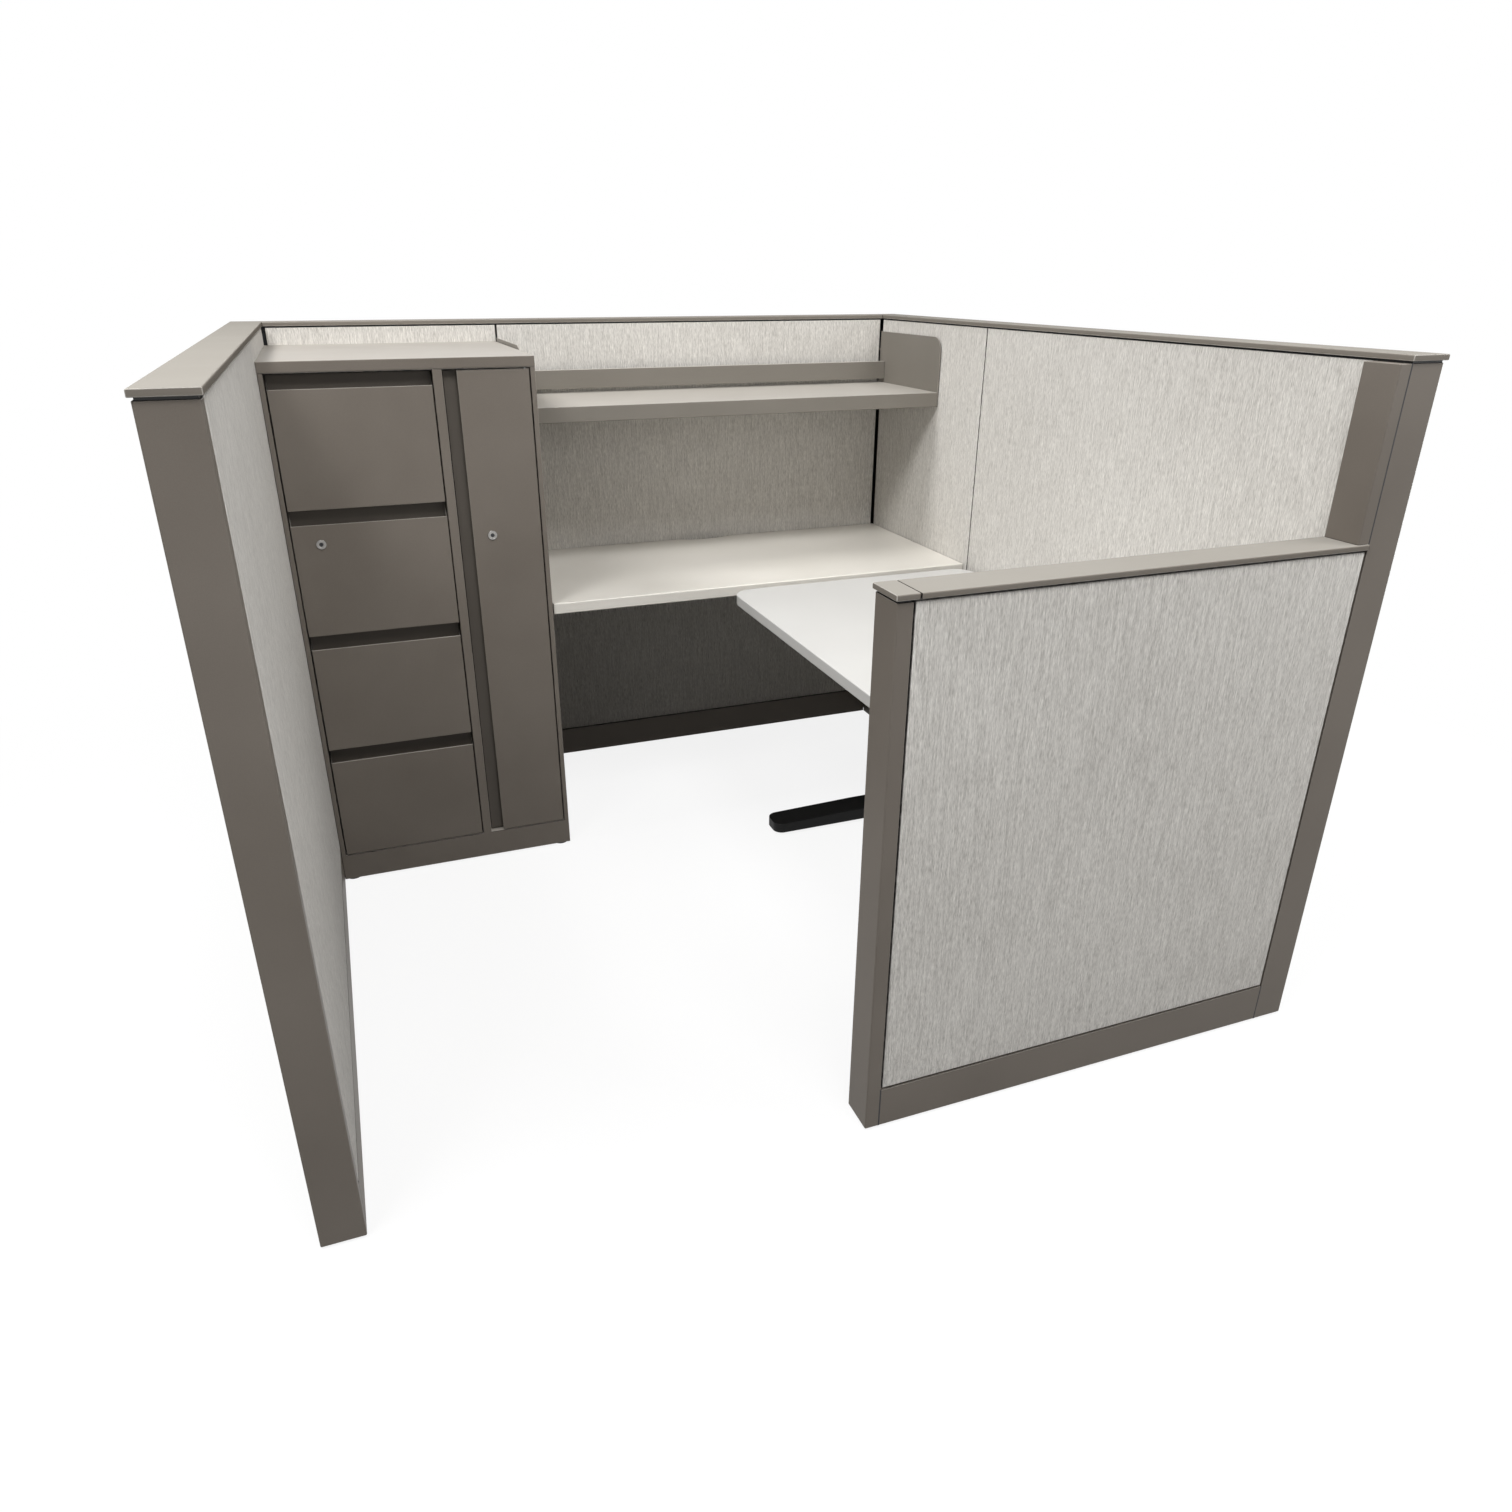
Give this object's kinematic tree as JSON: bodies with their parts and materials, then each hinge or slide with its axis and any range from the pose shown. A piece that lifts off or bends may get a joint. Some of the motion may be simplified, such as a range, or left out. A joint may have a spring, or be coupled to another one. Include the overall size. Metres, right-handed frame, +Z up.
{
  "type": "cubicle workstation",
  "caption": "Office cubicle of fabric wall panels with a fixed worksurface, a shelf, a storage tower with file drawers and a wardrobe, and a height-adjustable desk.",
  "frame": {"origin": "on the floor, under the middle of the overall box", "axes": "+Z up, +Y towards the tall back wall behind the worksurface, +X towards the right wall"},
  "size_m": [1.985, 1.985, 1.36],
  "materials": {
    "wall_fabric": "woven upright rib",
    "frame_zinc": "zinc plated, dull",
    "cap_paint": "satin paint",
    "trim_paint": "fine texture, satin",
    "glide_plastic": "moulded, matt",
    "worksurface_laminate": "laminate on board, matt",
    "shelf_paint": "satin paint",
    "bracket_paint": "satin paint",
    "tower_paint": "fine texture, satin",
    "drawer_paint": "satin paint",
    "slide_zinc": "zinc plated",
    "lock_chrome": "polished",
    "desk_laminate": "laminate on board, smooth",
    "desk_black": "fine texture, matt",
    "housing_plastic": "moulded, matt",
    "button_plastic": "moulded, matt"
  },
  "bodies": {
    "root": {"left_uprights": "frame_zinc", "back_uprights": "frame_zinc", "right_uprights": "frame_zinc", "low_uprights": "frame_zinc", "frame_rails": "frame_zinc", "corner_posts": "frame_zinc", "left_tiles_in": "wall_fabric", "back_tiles_in": "wall_fabric", "right_tiles_in": "wall_fabric", "tall_tiles_out": "wall_fabric", "low_tile_in": "wall_fabric", "low_tile_out": "wall_fabric", "left_cap": "cap_paint", "back_cap": "cap_paint", "right_cap": "cap_paint", "low_cap": "cap_paint", "low_cap_end": "cap_paint", "tall_base_covers": "trim_paint", "low_base_covers": "trim_paint", "corner_covers": "trim_paint", "end_trims": "trim_paint", "height_trim": "trim_paint", "glides": "glide_plastic", "worksurface": "worksurface_laminate", "worksurface_brackets": "bracket_paint", "shelf_pan": "shelf_paint", "shelf_back_stop": "shelf_paint", "shelf_ends": "shelf_paint", "tower_case": "tower_paint", "tower_top": "tower_paint", "hat_shelf_and_rod": "slide_zinc", "drawer_runners": "slide_zinc", "door_pins": "slide_zinc", "desk_legs": "desk_black"},
    "drawer_1": {"drawer_front_1": "tower_paint", "drawer_body_1": "drawer_paint"},
    "drawer_2": {"drawer_front_2": "tower_paint", "drawer_body_2": "drawer_paint"},
    "drawer_3": {"drawer_front_3": "tower_paint", "drawer_body_3": "drawer_paint"},
    "drawer_4": {"drawer_front_4": "tower_paint", "drawer_body_4": "drawer_paint"},
    "slide_1": {"slide_middle_1": "slide_zinc"},
    "slide_2": {"slide_middle_2": "slide_zinc"},
    "slide_3": {"slide_middle_3": "slide_zinc"},
    "slide_4": {"slide_middle_4": "slide_zinc"},
    "door": {"wardrobe_door": "tower_paint", "door_frame": "tower_paint", "door_channel": "tower_paint"},
    "drawer_lock_core": {"drawer_lock": "lock_chrome"},
    "door_lock_core": {"door_lock": "lock_chrome"},
    "leg_middle": {"leg_middle_tubes": "desk_black"},
    "desk": {"desk_top": "desk_laminate", "desk_frame": "desk_black", "leg_inner_tubes": "desk_black", "lift_motors": "housing_plastic", "control_box": "housing_plastic", "handset": "housing_plastic"},
    "up_key": {"up_button": "button_plastic"},
    "down_key": {"down_button": "button_plastic"}
  },
  "joints": [
    {"name": "drawer_1_slide", "type": "slide", "parent": "root", "child": "drawer_1", "axis": [0, -1, 0], "range_m": [0, 0.48]},
    {"name": "middle_1_slide", "type": "slide", "parent": "root", "child": "slide_1", "axis": [0, -1, 0], "range_m": [0, 0.24]},
    {"name": "drawer_2_slide", "type": "slide", "parent": "root", "child": "drawer_2", "axis": [0, -1, 0], "range_m": [0, 0.48]},
    {"name": "middle_2_slide", "type": "slide", "parent": "root", "child": "slide_2", "axis": [0, -1, 0], "range_m": [0, 0.24]},
    {"name": "drawer_3_slide", "type": "slide", "parent": "root", "child": "drawer_3", "axis": [0, -1, 0], "range_m": [0, 0.48]},
    {"name": "middle_3_slide", "type": "slide", "parent": "root", "child": "slide_3", "axis": [0, -1, 0], "range_m": [0, 0.24]},
    {"name": "drawer_4_slide", "type": "slide", "parent": "root", "child": "drawer_4", "axis": [0, -1, 0], "range_m": [0, 0.48]},
    {"name": "middle_4_slide", "type": "slide", "parent": "root", "child": "slide_4", "axis": [0, -1, 0], "range_m": [0, 0.24]},
    {"name": "door_hinge", "type": "hinge", "parent": "root", "child": "door", "pos_m": [-0.3335, 0.3155, 0.677], "axis": [0, 0, 1], "range_deg": [0, 110]},
    {"name": "drawer_lock_turn", "type": "hinge", "parent": "drawer_2", "child": "drawer_lock_core", "pos_m": [-0.8395, 0.3105, 0.8985], "axis": [0, 1, 0], "range_deg": [0, 90]},
    {"name": "door_lock_turn", "type": "hinge", "parent": "door", "child": "door_lock_core", "pos_m": [-0.4445, 0.3105, 0.89], "axis": [0, 1, 0], "range_deg": [0, 90]},
    {"name": "desk_lift", "type": "slide", "parent": "root", "child": "desk", "axis": [0, 0, 1], "range_m": [-0.12, 0.5]},
    {"name": "leg_middle_lift", "type": "slide", "parent": "root", "child": "leg_middle", "axis": [0, 0, 1], "range_m": [-0.06, 0.25]},
    {"name": "up_press", "type": "slide", "parent": "desk", "child": "up_key", "axis": [1, 0, 0], "range_m": [0, 0.0014], "stiffness_N_per_m": 800, "springref_m": -0.0005},
    {"name": "down_press", "type": "slide", "parent": "desk", "child": "down_key", "axis": [1, 0, 0], "range_m": [0, 0.0014], "stiffness_N_per_m": 800, "springref_m": -0.0005}
  ],
  "couplings": [
    {"joint": "middle_1_slide", "follows": "drawer_1_slide", "ratio": 0.5},
    {"joint": "middle_2_slide", "follows": "drawer_2_slide", "ratio": 0.5},
    {"joint": "middle_3_slide", "follows": "drawer_3_slide", "ratio": 0.5},
    {"joint": "middle_4_slide", "follows": "drawer_4_slide", "ratio": 0.5},
    {"joint": "leg_middle_lift", "follows": "desk_lift", "ratio": 0.5}
  ]
}
